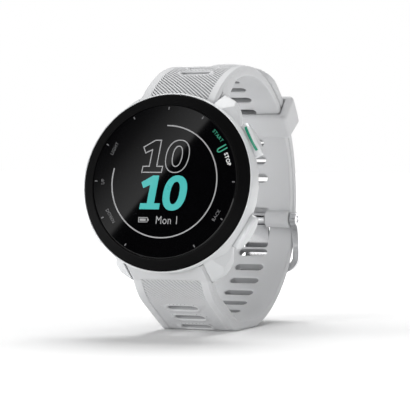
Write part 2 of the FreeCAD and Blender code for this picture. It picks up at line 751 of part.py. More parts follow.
def main():
    export_head("case_body", case_body())
    export_head("bezel_ring", bezel_ring())
    export_head("lens", lens())
    export_head("lens_gasket", ring(18.1, 16.9, SEAT_W, SEAT_W + 0.5))
    export_head("display_panel", cylinder(15.4, 1.2, (0, 0, -2.75)))
    export_head("backlight_guide", cylinder(15.4, 0.6, (0, 0, -3.45)))
    export_head("inner_frame", inner_frame())
    export_head("gps_antenna", antenna())
    export_head("main_board", main_board())
    export_head("shield_can", shield_can())
    export_head("battery_cell", battery())
    export_head("vibration_motor", vibration_motor())
    export_head("buzzer", buzzer())
    export_head("sensor_board", sensor_board())
    export_head("back_cover", back_cover())
    export_head("back_gasket", ring(17.8, 17.4, -9.9, -9.6))
    export_head("sensor_window", revolve([
        (0, -10.45), (SENSOR_RADIUS, -10.45), (SENSOR_RADIUS, -11.45), (5.4, SENSOR_W),
        (0, SENSOR_W)]))
    export_head("charge_contacts", charge_contacts())
    export_head("back_screws", back_screws())
    export_head("button_seals", button_seals())
    export_head("button_switches", button_switches())
    for name, angle, proud, length in BUTTONS:
        export_head("button_" + name, button_cap(angle, proud, length, name == "start"))
        export_head("clip_" + name, button_clip(angle))
    export_head("start_accent", accent_strip(BUTTONS[0][1], BUTTONS[0][2], BUTTONS[0][3], 0.06))
    export_side("upper_strap", upper_strap())
    export_side("lower_strap", lower_strap())
    export_side("keeper_loop", keeper())
    export_side("buckle_frame", buckle_frame())
    export_side("buckle_bar", buckle_bar())
    export_side("buckle_tang", buckle_tang())
    for name, sign_u in (("upper", 1), ("lower", -1)):
        tube, fixed, release = spring_bar(sign_u)
        export_side(name + "_bar_tube", tube)
        export_side(name + "_bar_tip", fixed)
        export_side(name + "_bar_release", release)


main()
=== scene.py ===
import json
import math

import bmesh
import bpy
import numpy as np
from mathutils import Euler, Matrix, Vector


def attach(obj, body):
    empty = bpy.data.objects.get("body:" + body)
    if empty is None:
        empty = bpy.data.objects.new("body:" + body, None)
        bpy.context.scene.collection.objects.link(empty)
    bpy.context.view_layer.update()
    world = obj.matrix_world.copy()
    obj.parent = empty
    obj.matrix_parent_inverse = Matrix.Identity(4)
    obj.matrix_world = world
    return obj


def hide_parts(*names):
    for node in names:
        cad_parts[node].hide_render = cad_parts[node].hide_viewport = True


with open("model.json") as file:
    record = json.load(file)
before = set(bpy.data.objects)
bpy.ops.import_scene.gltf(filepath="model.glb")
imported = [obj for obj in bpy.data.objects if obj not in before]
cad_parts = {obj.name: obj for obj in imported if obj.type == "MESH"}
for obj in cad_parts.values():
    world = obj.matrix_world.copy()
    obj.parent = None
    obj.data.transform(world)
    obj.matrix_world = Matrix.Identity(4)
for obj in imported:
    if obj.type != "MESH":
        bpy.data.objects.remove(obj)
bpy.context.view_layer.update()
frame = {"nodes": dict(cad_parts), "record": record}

NODES = frame["nodes"]
MOUNTS = {m["name"]: m for m in frame["record"]["mounts"]}
MM = 0.001

# ------------------------------------------------------------------ the head's own axes
DIAL = Vector(MOUNTS["glass_face"]["pos_m"])
NORMAL = Vector(MOUNTS["glass_face"]["axis"]).normalized()
ACROSS = Vector((1, 0, 0))
UP = NORMAL.cross(ACROSS).normalized()


def head(x, u, w=0.0):
    """Point in the row frame from millimetres across, up and out of the glass."""
    return DIAL + (ACROSS * x + UP * u + NORMAL * w) * MM


HEAD_MATRIX = Matrix((
    (ACROSS.x, UP.x, NORMAL.x, DIAL.x),
    (ACROSS.y, UP.y, NORMAL.y, DIAL.y),
    (ACROSS.z, UP.z, NORMAL.z, DIAL.z),
    (0, 0, 0, 1)))


# ------------------------------------------------------------------ materials
def principled(name, color, roughness, metallic=0.0, **sockets):
    material = bpy.data.materials.new(name)
    material.use_nodes = True
    tree = material.node_tree
    bsdf = tree.nodes["Principled BSDF"]
    bsdf.inputs["Base Color"].default_value = (*color, 1.0)
    bsdf.inputs["Roughness"].default_value = roughness
    bsdf.inputs["Metallic"].default_value = metallic
    for key, value in sockets.items():
        bsdf.inputs[key.replace("_", " ")].default_value = value
    return material, tree, bsdf


def noise(tree, scale, detail=4.0, stretch=None):
    coords = tree.nodes.new("ShaderNodeTexCoord")
    out = tree.nodes.new("ShaderNodeTexNoise")
    out.inputs["Scale"].default_value = scale
    out.inputs["Detail"].default_value = detail
    link = coords.outputs["Object"]
    if stretch:
        mapping = tree.nodes.new("ShaderNodeMapping")
        mapping.inputs["Scale"].default_value = stretch
        tree.links.new(link, mapping.inputs["Vector"])
        link = mapping.outputs["Vector"]
    tree.links.new(link, out.inputs["Vector"])
    return out.outputs["Fac"]


def ramp(tree, fac, low, high):
    """Maps a noise to a narrow band of values round its middle."""
    out = tree.nodes.new("ShaderNodeMapRange")
    out.inputs["From Min"].default_value = 0.3
    out.inputs["From Max"].default_value = 0.7
    out.inputs["To Min"].default_value = low
    out.inputs["To Max"].default_value = high
    tree.links.new(fac, out.inputs["Value"])
    return out.outputs["Result"]


def tinted(tree, bsdf, color, fac, spread):
    """Slow, slight change of shade over the surface."""
    mix = tree.nodes.new("ShaderNodeMix")
    mix.data_type = "RGBA"
    mix.inputs["A"].default_value = (*[c * (1 - spread) for c in color], 1)
    mix.inputs["B"].default_value = (*[min(1, c * (1 + spread)) for c in color], 1)
    tree.links.new(fac, mix.inputs["Factor"])
    tree.links.new(mix.outputs["Result"], bsdf.inputs["Base Color"])


def bumped(tree, bsdf, fac, distance, strength=1.0, edge=0.0):
    """Fine relief in metres, on top of softened edges where edge is given."""
    bump = tree.nodes.new("ShaderNodeBump")
    bump.inputs["Distance"].default_value = distance
    bump.inputs["Strength"].default_value = strength
    tree.links.new(fac, bump.inputs["Height"])
    if edge:
        bevel = tree.nodes.new("ShaderNodeBevel")
        bevel.samples = 6
        bevel.inputs["Radius"].default_value = edge
        tree.links.new(bevel.outputs["Normal"], bump.inputs["Normal"])
    tree.links.new(bump.outputs["Normal"], bsdf.inputs["Normal"])


def finish_material(name, color, roughness, metallic=0.0, spread=0.02, tone=90.0, vary=0.04,
                    grain=2500.0, relief=4e-6, edge=0.0, stretch=None, **sockets):
    """A surface with slow shade changes, uneven gloss, fine relief and soft edges."""
    material, tree, bsdf = principled(name, color, roughness, metallic, **sockets)
    tinted(tree, bsdf, color, noise(tree, tone, 3.0), spread)
    uneven = noise(tree, grain * 0.2, 3.0, stretch)
    tree.links.new(ramp(tree, uneven, roughness - vary, roughness + vary), bsdf.inputs["Roughness"])
    bumped(tree, bsdf, noise(tree, grain, 2.0, stretch), relief, 1.0, edge)
    return material


SILICONE = finish_material("silicone", (0.60, 0.605, 0.615), 0.58, spread=0.015, vary=0.05,
                           grain=5200, relief=7e-6, Specular_IOR_Level=0.35)
# darker silicone tone: painted shade laid on the rib grooves and slot walls, standing in for the shade in
# those hollows
GROOVE_SHADE = finish_material("silicone_groove_shade", (0.33, 0.334, 0.342), 0.66, spread=0.02, vary=0.05,
                         grain=5200, relief=7e-6, Specular_IOR_Level=0.2)
SILICONE_EDGE = finish_material("silicone_moulded", (0.62, 0.625, 0.635), 0.50, spread=0.015,
                                vary=0.05, grain=5200, relief=7e-6, edge=0.0005,
                                Specular_IOR_Level=0.38)
POLYMER = finish_material("case_polymer", (0.66, 0.67, 0.68), 0.42, spread=0.012, vary=0.04,
                          grain=4200, relief=6e-6, edge=0.0004, Specular_IOR_Level=0.45)
GLOSS_WHITE = finish_material("button_gloss", (0.70, 0.71, 0.72), 0.22, spread=0.01, vary=0.04,
                              grain=1200, relief=2e-6, edge=0.00025, Coat_Weight=0.3,
                              Coat_Roughness=0.08)
GREEN = finish_material("accent_green", (0.004, 0.30, 0.17), 0.35, spread=0.06, vary=0.05,
                        grain=2000, relief=2e-6)
BEZEL = finish_material("bezel_black", (0.0028, 0.0028, 0.003), 0.38, spread=0.08, vary=0.04,
                        grain=6500, relief=3e-6, edge=0.00008, Specular_IOR_Level=0.05)
GLASS_BLACK = finish_material("lens_black", (0.0012, 0.0012, 0.0015), 0.035, spread=0.05, vary=0.012,
                              tone=40, grain=160, relief=2e-8, Specular_IOR_Level=0.5)
STEEL = finish_material("polished_steel", (0.74, 0.74, 0.75), 0.16, 1.0, spread=0.02, vary=0.05,
                        grain=2600, relief=1.5e-6, edge=0.0002, stretch=(0.15, 1, 1))
TURNED = finish_material("turned_steel", (0.60, 0.60, 0.62), 0.28, 1.0, spread=0.03, vary=0.06,
                         grain=5000, relief=2e-6, stretch=(4, 0.3, 0.3))
COVER = finish_material("cover_grey", (0.52, 0.53, 0.54), 0.40, spread=0.015, vary=0.05,
                        grain=4200, relief=6e-6, edge=0.00015)
WINDOW = finish_material("sensor_window", (0.003, 0.003, 0.004), 0.06, spread=0.05, vary=0.02,
                         tone=200, grain=300, relief=1e-7)
GOLD = finish_material("contact_gold", (0.75, 0.52, 0.20), 0.24, 1.0, spread=0.04, vary=0.06,
                       grain=3000, relief=1e-6)
BLACK_RUBBER = finish_material("seal_rubber", (0.02, 0.02, 0.02), 0.7, spread=0.1, vary=0.06,
                               grain=3000, relief=6e-6)
DARK_PLASTIC = finish_material("dark_plastic", (0.03, 0.03, 0.03), 0.45, spread=0.08, vary=0.06,
                               grain=3000, relief=4e-6)
BOARD = finish_material("board_green", (0.02, 0.16, 0.07), 0.4, spread=0.1, vary=0.08,
                        grain=1500, relief=3e-6)
FOIL = finish_material("cell_foil", (0.62, 0.62, 0.64), 0.3, 0.9, spread=0.03, vary=0.08,
                       grain=900, relief=5e-6)
MILKY = finish_material("light_guide", (0.78, 0.78, 0.78), 0.3, spread=0.02, vary=0.05,
                        grain=1500, relief=1e-6)

CAD_FINISH = {
    "case_polymer": POLYMER, "button_polymer": GLOSS_WHITE, "accent_green": GREEN,
    "bezel_black": BEZEL, "lens_glass": GLASS_BLACK, "display": DARK_PLASTIC,
    "guide_plastic": MILKY, "frame_plastic": DARK_PLASTIC, "antenna_metal": GOLD,
    "board": BOARD, "can_steel": TURNED, "cell_foil": FOIL, "buzzer_brass": GOLD,
    "back_steel": COVER, "window_black": WINDOW, "contact_gold": GOLD, "screw_steel": TURNED,
    "seal_rubber": BLACK_RUBBER, "switch_plastic": DARK_PLASTIC,
    "strap_silicone": SILICONE_EDGE, "buckle_steel": STEEL, "bar_steel": TURNED,
}
for part in frame["record"]["subparts"]:
    slots = NODES[part["node"]].data.materials
    slots.clear()
    slots.append(CAD_FINISH[part["material_slot"]])


# ------------------------------------------------------------------ strap side lines
STRAP_HALF = 9.95        # half width of a strap, mm
THICK = 2.4
BEVEL = 0.6
LAYER_GAP = 0.25         # air between the two straps where they overlap
SHORT_START, SHORT_HEADING = (7.11, 17.99), 46.4
LONG_START, LONG_HEADING = (4.11, -23.49), -62.5


class Line:
    """Tangent arcs and straights of a strap's outer face, in millimetres from the dial centre."""

    def __init__(self, start, heading, moves):
        self.runs, at = [], (start[0], start[1], math.radians(heading))
        begin = 0.0
        for size, turn in moves:
            length = size * abs(math.radians(turn)) if turn else size
            curve = math.radians(turn) / length
            self.runs.append((begin, length, at, curve))
            begin += length
            y, z, a = self.step(at, curve, np.array(length))
            at = (float(y), float(z), float(a))
        self.length = begin

    @staticmethod
    def step(at, curve, s):
        y, z, a = at
        if curve == 0:
            return y + s * math.cos(a), z + s * math.sin(a), a + 0 * s
        end = a + curve * s
        return (y + (np.sin(end) - math.sin(a)) / curve,
                z + (math.cos(a) - np.cos(end)) / curve, end)

    def pose(self, s):
        s = np.asarray(s, float)
        y, z, a = np.zeros_like(s), np.zeros_like(s), np.zeros_like(s)
        for begin, length, at, curve in self.runs:
            last = begin + length >= self.length - 1e-9
            here = (s >= begin) & ((s < begin + length) | last) if begin else (s < length)
            py, pz, pa = self.step(at, curve, s[here] - begin)
            y[here], z[here], a[here] = py, pz, pa
        return y, z, a

    def point(self, s, side):
        """Point at a distance along the line, moved to its left by side."""
        y, z, a = self.pose(s)
        return y - side * np.sin(a), z + side * np.cos(a)


def biarc(start, heading, end, end_heading):
    """Two tangent arcs that join one point and heading to another."""
    h1, h2 = math.radians(heading), math.radians(end_heading)
    t1, t2 = (math.cos(h1), math.sin(h1)), (math.cos(h2), math.sin(h2))
    v = (end[0] - start[0], end[1] - start[1])
    v_t = v[0] * (t1[0] + t2[0]) + v[1] * (t1[1] + t2[1])
    lead = 2 * (1 - t1[0] * t2[0] - t1[1] * t2[1])
    d = (-v_t + math.sqrt(v_t ** 2 + lead * (v[0] ** 2 + v[1] ** 2))) / lead
    middle = [(start[i] + end[i] + d * (t1[i] - t2[i])) / 2 for i in (0, 1)]
    moves, here, angle = [], start, h1
    for there in (middle, end):
        dy, dz = there[0] - here[0], there[1] - here[1]
        half = (math.atan2(dz, dy) - angle + math.pi) % (2 * math.pi) - math.pi
        moves.append((abs(math.hypot(dy, dz) / (2 * math.sin(half))), math.degrees(2 * half)))
        angle += 2 * half
        here = there
    return moves


SHORT = Line(SHORT_START, SHORT_HEADING, [(31.5, -116.0), (36.5, -26.9)])
LIFT = THICK + LAYER_GAP
LONG_MOVES = [(15.2, 32.5), (12.28, 0), (5.0, 30.0), (9.9, 0), (21.0, 15.0), (40.6, 31.0)]
under_arcs = Line(LONG_START, LONG_HEADING, LONG_MOVES)
ly, lz, la = (float(v) for v in under_arcs.pose(under_arcs.length))
jy, jz = (float(v) for v in SHORT.point(SHORT.length, LIFT))
back_heading = math.degrees(float(SHORT.pose(SHORT.length)[2])) + 180


def side_of(u, w):
    """A point of the head's middle plane, in millimetres from the dial centre, (y, z)."""
    p = head(0, u, w) - DIAL
    return p.y / MM, p.z / MM


# the long strap's line starts at the case, with a flat face that leads down to the first arc
CORNER_RADIUS = 0.1
brow = side_of(-19.35, -3.0)
lead = (LONG_START[0] - brow[0], LONG_START[1] - brow[1])
LEAD = math.hypot(*lead)
lead_heading = math.degrees(math.atan2(lead[1], lead[0]))
LONG = Line(brow, lead_heading,
            [(LEAD, 0), (CORNER_RADIUS, LONG_HEADING - lead_heading)] + LONG_MOVES
            + biarc((ly, lz), math.degrees(la), (jy, jz), back_heading)
            + [(36.5 + LIFT, 26.9), (31.5 + LIFT, 53.0)])

# ------------------------------------------------------------------ strap surface
PITCH = 0.99             # rib spacing measured along the strap
ROWS = 5                 # mesh rows for each rib
SLOT_HALF, SLOT_RADIUS = 2.7, 1.1
SLOT_PITCH = 5.1
SHORT_FIRST_SLOT, SHORT_SLOTS = 14.9, 12
LONG_FIRST_SLOT, LONG_SLOTS, TANG_SLOT = 10.4, 21, 12
GROOVE_DARK = 0.52       # share of the full depth beyond which a face takes the painted groove shade
COLUMNS = sorted({round(sign * v, 4) for sign in (1, -1) for v in
                  [0.16 + 0.32 * i for i in range(14)]
                  + [4.95, 5.5, 6.1, 6.7, 7.1, 7.35, 7.5, 7.62, 7.8, 8.2, 8.8, 9.2, 9.35, 9.5,
                     9.72, 9.88, STRAP_HALF]})


def smooth(t):
    t = np.clip(t, 0, 1)
    return t * t * (3 - 2 * t)


def slot_distance(x, s, stations):
    """Distance outside the nearest slot's edge, negative inside it."""
    out = np.full_like(x, 99.0)
    for station in stations:
        out = np.minimum(out, np.hypot(np.maximum(np.abs(x) - SLOT_HALF, 0), s - station) - SLOT_RADIUS)
    return out


def box_distance(x, s, half, low, high, corner):
    dx = np.abs(x) - half + corner
    ds = np.abs(s - (low + high) / 2) - (high - low) / 2 + corner
    outside = np.hypot(np.maximum(dx, 0), np.maximum(ds, 0))
    return outside + np.minimum(np.maximum(dx, ds), 0) - corner


def rounded(distance, radius):
    """Drop of a surface that rounds over towards an edge."""
    t = np.clip(radius - distance, 0, radius)
    return radius - np.sqrt(radius ** 2 - t ** 2)


def strap_mesh(line, inner_side, slant, start, end, slots, inner_depth, texture, opening=None,
               tip=False):
    """Closed strap band as vertex and face lists: ribbed outer face, smooth inner face, slot and edge
    walls.
    """
    step = PITCH / ROWS
    q = np.arange(start - 10.5, end + 10.5, step)
    xs = np.array(COLUMNS)
    grid_x, grid_q = np.meshgrid(xs, q)
    grid_s = grid_q - slant * grid_x

    def free(x, s):
        """Distance to the nearest opening or rounded tip."""
        d = slot_distance(x, s, slots)
        if opening:
            d = np.minimum(d, box_distance(x, s, *opening))
        return d

    def tip_distance(x, s):
        if not tip:
            return end - s
        centre = end - STRAP_HALF
        beyond = STRAP_HALF - np.hypot(x, np.maximum(s - centre, 0))
        return np.where(s > centre, beyond, 99.0)

    def field(x, s):
        return np.minimum(np.minimum(free(x, s), tip_distance(x, s)), s - start)

    value = field(grid_x, grid_s)
    value = np.where(np.abs(value) < 1e-4, 1e-4, value)
    rows, cols = value.shape
    px, ps, index, cut = [], [], {}, {}
    polys = []

    def corner(r, c):
        if (r, c) not in index:
            index[(r, c)] = len(px)
            px.append(grid_x[r, c])
            ps.append(grid_s[r, c])
        return index[(r, c)]

    def crossing(a, b):
        key = (a, b) if a < b else (b, a)
        if key not in cut:
            (r0, c0), (r1, c1) = key
            t = value[r0, c0] / (value[r0, c0] - value[r1, c1])
            cut[key] = len(px)
            px.append(grid_x[r0, c0] + t * (grid_x[r1, c1] - grid_x[r0, c0]))
            ps.append(grid_s[r0, c0] + t * (grid_s[r1, c1] - grid_s[r0, c0]))
        return cut[key]

    positive = value > 0
    count = (positive[:-1, :-1].astype(int) + positive[1:, :-1] + positive[:-1, 1:] + positive[1:, 1:])
    for r, c in zip(*np.nonzero(count)):
        loop = [(r, c), (r, c + 1), (r + 1, c + 1), (r + 1, c)]
        poly = []
        for a, b in zip(loop, loop[1:] + loop[:1]):
            if positive[a]:
                poly.append(corner(*a))
            if positive[a] != positive[b]:
                poly.append(crossing(a, b))
        if len(poly) > 2:
            polys.append(poly)
    x, s = np.array(px), np.array(ps)

    edge = STRAP_HALF - np.abs(x)
    free_d = free(x, s)
    tip_d = tip_distance(x, s)
    rim = np.maximum(np.minimum(edge, tip_d if tip else 99.0), 0)
    bevel = np.maximum(BEVEL - rim, 0)
    mask = (smooth((STRAP_HALF - 2.27 - np.abs(x)) / 0.28) * smooth((free_d - 0.62) / 0.22)
            * smooth((s - texture[0]) / 0.35) * smooth((texture[1] - s) / 0.35))
    if tip:
        mask = mask * smooth((tip_d - 2.3) / 0.3)
    groove = (0.5 - 0.5 * np.cos(2 * math.pi * (s + slant * x) / PITCH)) ** 1.8
    outer = -bevel - mask * (0.06 + 0.40 * groove) - rounded(np.maximum(free_d, 0), 0.3)
    lift = rounded(np.maximum(free_d, 0), 0.25) + rounded(rim, 0.35)

    away = -inner_side
    oy, oz = line.point(s, away * outer)
    depth = inner_depth(s) - lift
    iy, iz = line.point(s, inner_side * depth)
    origin = np.array([DIAL.x, DIAL.y, DIAL.z])
    top = np.stack([x, oy, oz], 1) * MM + origin
    bottom = np.stack([x, iy, iz], 1) * MM + origin
    total = len(x)

    faces, seen, shades = [], {}, []
    # faces deep in the rib grooves and the walls of slots get the painted shade material
    dark = mask * groove
    well = (free_d < 0.4).astype(float)
    for poly in polys:
        up = poly[::-1] if away < 0 else poly
        faces.append(up)
        faces.append([v + total for v in reversed(up)])
        shades += [int(dark[up].mean() > GROOVE_DARK), 0]
        for a, b in zip(up, up[1:] + up[:1]):
            if (b, a) in seen:
                del seen[(b, a)]
            else:
                seen[(a, b)] = True
    for a, b in seen:
        faces.append([b, a, a + total, b + total])
        shades.append(int(well[a] > 0))
    return np.concatenate([top, bottom]), faces, shades


def cad_piece(node, cuts, near):
    """The part of a CAD solid on the kept side of each plane, where it is nearest a point."""
    bm = bmesh.new()
    bm.from_mesh(NODES[node].data)
    bmesh.ops.remove_doubles(bm, verts=bm.verts, dist=1e-7)
    for place, direction in cuts:
        geometry = bm.verts[:] + bm.edges[:] + bm.faces[:]
        made = bmesh.ops.bisect_plane(bm, geom=geometry, plane_co=place, plane_no=direction,
                                      clear_outer=True)
        rim = [e for e in made["geom_cut"] if isinstance(e, bmesh.types.BMEdge)]
        bmesh.ops.triangle_fill(bm, edges=rim, use_beauty=True, normal=direction)
    seed = min(bm.verts, key=lambda v: (v.co - near).length)
    kept, stack = {seed}, [seed]
    while stack:
        for e in stack.pop().link_edges:
            for v in e.verts:
                if v not in kept:
                    kept.add(v)
                    stack.append(v)
    bmesh.ops.delete(bm, geom=[v for v in bm.verts if v not in kept], context="VERTS")
    bmesh.ops.recalc_face_normals(bm, faces=bm.faces)
    mesh = bpy.data.meshes.new(node + "_piece")
    bm.to_mesh(mesh)
    bm.free()
    verts = np.zeros(len(mesh.vertices) * 3)
    mesh.vertices.foreach_get("co", verts)
    faces = [list(p.vertices) for p in mesh.polygons]
    bpy.data.meshes.remove(mesh)
    return verts.reshape(-1, 3), faces


def station_plane(line, s):
    """Point and forward direction of a strap line, in the row frame."""
    y, z, a = (float(v[0]) for v in line.pose(np.array([float(s)])))
    return Vector((0, y, z)) * MM + DIAL, Vector((0, math.cos(a), math.sin(a)))


def place(line, s, side):
    y, z = line.point(np.array([float(s)]), side)
    return Vector((0, float(y[0]), float(z[0]))) * MM + DIAL


def build(name, pieces, material, body, angle=38, replaced=()):
    """Joins lists of vertices and faces into one smooth-shaded object on a body."""
    verts, faces, shade_flags, base = [], [], [], 0
    for v, f, *shades in pieces:
        verts.append(np.asarray(v, float))
        faces += [[i + base for i in face] for face in f]
        shades = shades[0] if shades else []
        shade_flags += shades + [0] * (len(f) - len(shades))
        base += len(v)
    mesh = bpy.data.meshes.new(name)
    mesh.from_pydata(np.concatenate(verts).tolist(), [], faces)
    mesh.shade_smooth()
    mesh.set_sharp_from_angle(angle=math.radians(angle))
    mesh.materials.append(material)
    # painted shade: groove faces and slot walls take the darker second material
    if any(shade_flags):
        mesh.materials.append(GROOVE_SHADE)
        mesh.polygons.foreach_set("material_index", shade_flags)
    obj = bpy.data.objects.new(name, mesh)
    bpy.context.scene.collection.objects.link(obj)
    if replaced:
        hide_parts(*replaced)
    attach(obj, body)
    return obj


SHORT_JOIN = SHORT.point(np.array([16.0]), -THICK)
HEAD_PATH = [(float(SHORT_JOIN[0][0]), float(SHORT_JOIN[1][0])), side_of(21.2, -11.2), side_of(19.4, -11.2)]
SHELL, SHELL_END = 1.2, 6.3     # outer layer over the upper strap's thick end


def short_depth(s):
    """Thickness of the short strap's ribbed piece along its line."""
    y, z, a = SHORT.pose(s)
    n_y, n_z = np.sin(a), -np.cos(a)
    best = np.full_like(s, THICK)
    (ay, az), (by, bz) = HEAD_PATH[0], HEAD_PATH[1]
    dy, dz = by - ay, bz - az
    den = n_y * dz - n_z * dy
    t = ((ay - y) * dz - (az - z) * dy) / den
    slanted = (s < 16.0)
    best[slanted] = np.maximum(t[slanted], THICK)
    return np.where(s < SHELL_END, SHELL, best)


UPPER_END = 76.5
upper_slots = [SHORT_FIRST_SLOT + SLOT_PITCH * i for i in range(SHORT_SLOTS)]
upper_band = strap_mesh(SHORT, -1, 1, 0.35, UPPER_END, upper_slots, short_depth, (1.6, 74.5))
at, ahead = station_plane(SHORT, SHELL_END)
y0, y1 = place(SHORT, 0.0, -SHELL), place(SHORT, SHELL_END, -SHELL)
chord = (y1 - y0).normalized()
outward = Vector((0, -chord.z, chord.y))
upper_head = cad_piece("upper_strap", [(at, ahead), (y0, outward)], head(0, 19.0, -10.0))
at, ahead = station_plane(SHORT, UPPER_END)
upper_barrel = cad_piece("upper_strap", [(at, -ahead)], place(SHORT, SHORT.length, 0))
build("upper_strap_band", [upper_band, upper_head, upper_barrel], SILICONE, "case",
      replaced=["upper_strap"])

LOWER_START = 0.25
LOWER_SHELL_END = LEAD + 1.0
lower_slots = [LEAD + LONG_FIRST_SLOT + SLOT_PITCH * i for i in range(LONG_SLOTS) if i != TANG_SLOT]
LOWER_JOIN = LONG.point(np.array([LEAD + 3.0]), THICK)
LOWER_CORNER = side_of(-21.2, -11.2)


def long_depth(s):
    """Thickness of the long strap's ribbed piece along its line."""
    y, z, a = LONG.pose(s)
    n_y, n_z = -np.sin(a), np.cos(a)
    ay, az = float(LOWER_JOIN[0][0]), float(LOWER_JOIN[1][0])
    dy, dz = LOWER_CORNER[0] - ay, LOWER_CORNER[1] - az
    t = ((ay - y) * dz - (az - z) * dy) / (n_y * dz - n_z * dy)
    depth = np.where(s < LEAD + 3.0, np.maximum(t, THICK), THICK)
    return np.where(s < LOWER_SHELL_END, SHELL, depth)


lower_band = strap_mesh(LONG, 1, -1, LOWER_START, LONG.length, lower_slots, long_depth,
                        (LEAD - 0.6, 999.0), opening=(3.6, LEAD + 68.2, LEAD + 75.3, 0.6), tip=True)
at, ahead = station_plane(LONG, LOWER_SHELL_END)
y0, y1 = place(LONG, 0.0, SHELL), place(LONG, LEAD, SHELL)
chord = (y1 - y0).normalized()
outward = Vector((0, chord.z, -chord.y))
lower_head = cad_piece("lower_strap", [(at, ahead), (y0, outward)], head(0, -19.0, -10.0))
build("lower_strap_band", [lower_band, lower_head], SILICONE, "case",
      replaced=["lower_strap"])


# ------------------------------------------------------------------ dial graphics
INK = 0.012              # height of the printed shapes on the glass
# the emission on the grey, white, teal and green print is a painted glow that makes the print and screen
# graphics brighter than the lamps light them
GREY = finish_material("print_grey_painted_glow", (0.22, 0.22, 0.225), 0.3, spread=0.03, vary=0.03, grain=2500,
                       relief=1e-7, Coat_Weight=1.0, Coat_Roughness=0.04,
                       Emission_Color=(0.42, 0.42, 0.43, 1), Emission_Strength=0.12)
DIM = finish_material("print_dim", (0.085, 0.085, 0.09), 0.3, spread=0.05, vary=0.03, grain=2500,
                      relief=1e-7, Coat_Weight=1.0, Coat_Roughness=0.04)
WHITE = finish_material("print_white_painted_glow", (0.70, 0.70, 0.70), 0.3, spread=0.02, vary=0.03, grain=2500,
                        relief=1e-7, Coat_Weight=1.0, Coat_Roughness=0.04,
                        Emission_Color=(0.7, 0.7, 0.7, 1), Emission_Strength=0.25)
TEAL = finish_material("print_teal_painted_glow", (0.0, 0.20, 0.19), 0.3, spread=0.03, vary=0.03, grain=2500,
                       relief=1e-7, Coat_Weight=1.0, Coat_Roughness=0.04,
                       Emission_Color=(0.0, 0.47, 0.44, 1), Emission_Strength=0.42)
MINT = finish_material("print_green_painted_glow", (0.0, 0.17, 0.10), 0.3, spread=0.03, vary=0.03, grain=2500,
                       relief=1e-7, Coat_Weight=1.0, Coat_Roughness=0.04,
                       Emission_Color=(0.0, 0.30, 0.17, 1), Emission_Strength=0.3)


def ribbon(points, width, closed=False):
    """Flat stroke along points in the dial plane, with mitred corners."""
    pts = [Vector(p) for p in points]
    count = len(pts)
    verts, faces = [], []
    for i, p in enumerate(pts):
        before = pts[i - 1] if (closed or i > 0) else None
        after = pts[(i + 1) % count] if (closed or i < count - 1) else None
        d0 = (p - before).normalized() if before is not None else (after - p).normalized()
        d1 = (after - p).normalized() if after is not None else d0
        n0, n1 = Vector((-d0.y, d0.x)), Vector((-d1.y, d1.x))
        m = (n0 + n1).normalized()
        reach = width / 2 / max(m.dot(n1), 0.35)
        verts += [p + m * reach, p - m * reach]
    for i in range(count if closed else count - 1):
        j = (i + 1) % count
        faces.append([2 * i, 2 * i + 1, 2 * j + 1, 2 * j])
    return verts, faces


def printed(name, shapes, material):
    """Thin raised shapes on the glass from (points, faces) lists in the dial plane."""
    verts, faces, base = [], [], 0
    for pts, fs in shapes:
        for w in (-0.004, INK):
            verts += [head(p[0], p[1], w) for p in pts]
        n = len(pts)
        edges = {}
        for f in fs:
            area = sum(pts[f[i - 1]][0] * pts[f[i]][1] - pts[f[i]][0] * pts[f[i - 1]][1]
                       for i in range(len(f)))
            f = list(f) if area > 0 else list(f)[::-1]
            faces.append([base + n + i for i in f])
            faces.append([base + i for i in reversed(f)])
            for a, b in zip(f, f[1:] + f[:1]):
                if (b, a) in edges:
                    del edges[(b, a)]
                else:
                    edges[(a, b)] = 1
        for a, b in edges:
            faces.append([base + a, base + b, base + n + b, base + n + a])
        base += 2 * n
    return build(name, [([list(v) for v in verts], faces)], material, "case")


def arc(radius, a0, a1, steps):
    return [(radius * math.cos(math.radians(a0 + (a1 - a0) * i / steps)),
             radius * math.sin(math.radians(a0 + (a1 - a0) * i / steps))) for i in range(steps + 1)]


def figure_one(base, height, slant):
    """Slab-footed numeral 1, as a closed outline leaning by slant."""
    h = height
    outline = [(-5.3, 0), (-0.3, 0), (-0.3, 1.42), (-1.8, 1.42), (-1.8, h), (-3.3, h),
               (-6.0, h - 1.62), (-5.25, h - 3.0), (-3.65, h - 2.25), (-3.65, 1.42), (-5.3, 1.42)]
    return [(x + slant * (y - h / 2), base + y) for x, y in outline]


def ellipse(cx, cy, a, b, slant, power=2.25, steps=64):
    out = []
    for i in range(steps):
        t = 2 * math.pi * i / steps
        c, s = math.cos(t), math.sin(t)
        x = a * math.copysign(abs(c) ** (2 / power), c)
        y = b * math.copysign(abs(s) ** (2 / power), s)
        out.append((cx + x + slant * y, cy + y))
    return out


def polygon(outline):
    return outline, [list(range(len(outline)))]


def annulus(outer, inner):
    n = len(outer)
    return outer + inner, [[i, (i + 1) % n, n + (i + 1) % n, n + i] for i in range(n)]


SLANT = 0.13
teal_one = figure_one(-6.6, 8.0, SLANT)
foot, stem = teal_one[0:3] + teal_one[10:], teal_one[3:10]
printed("digits_minutes", [polygon(foot), polygon([teal_one[i] for i in (3, 4, 5, 8, 9)]),
                           polygon([teal_one[i] for i in (5, 6, 7, 8)]),
                           annulus(ellipse(2.95, -2.7, 2.95, 4.15, SLANT),
                                   ellipse(2.92, -2.7, 1.15, 2.65, SLANT))], TEAL)
STROKE = 0.24
printed("digits_hours", [ribbon(figure_one(2.15, 7.6, SLANT), STROKE, True),
                         ribbon(ellipse(2.98, 5.95, 2.88, 3.82, SLANT), STROKE, True),
                         ribbon(ellipse(2.95, 5.95, 1.18, 2.4, SLANT), STROKE, True)], GREY)
printed("progress_ring", [ribbon(arc(13.25, 90.5, -193.5, 160), 0.3)], GREY)
MARKS = [90, 60, 0, -30, -60, -120, -150, 180, 150, 120]
printed("hour_marks", [ribbon([(r * math.cos(math.radians(a)), r * math.sin(math.radians(a)))
                               for r in (17.05, 17.7)], 0.28) for a in MARKS], DIM)
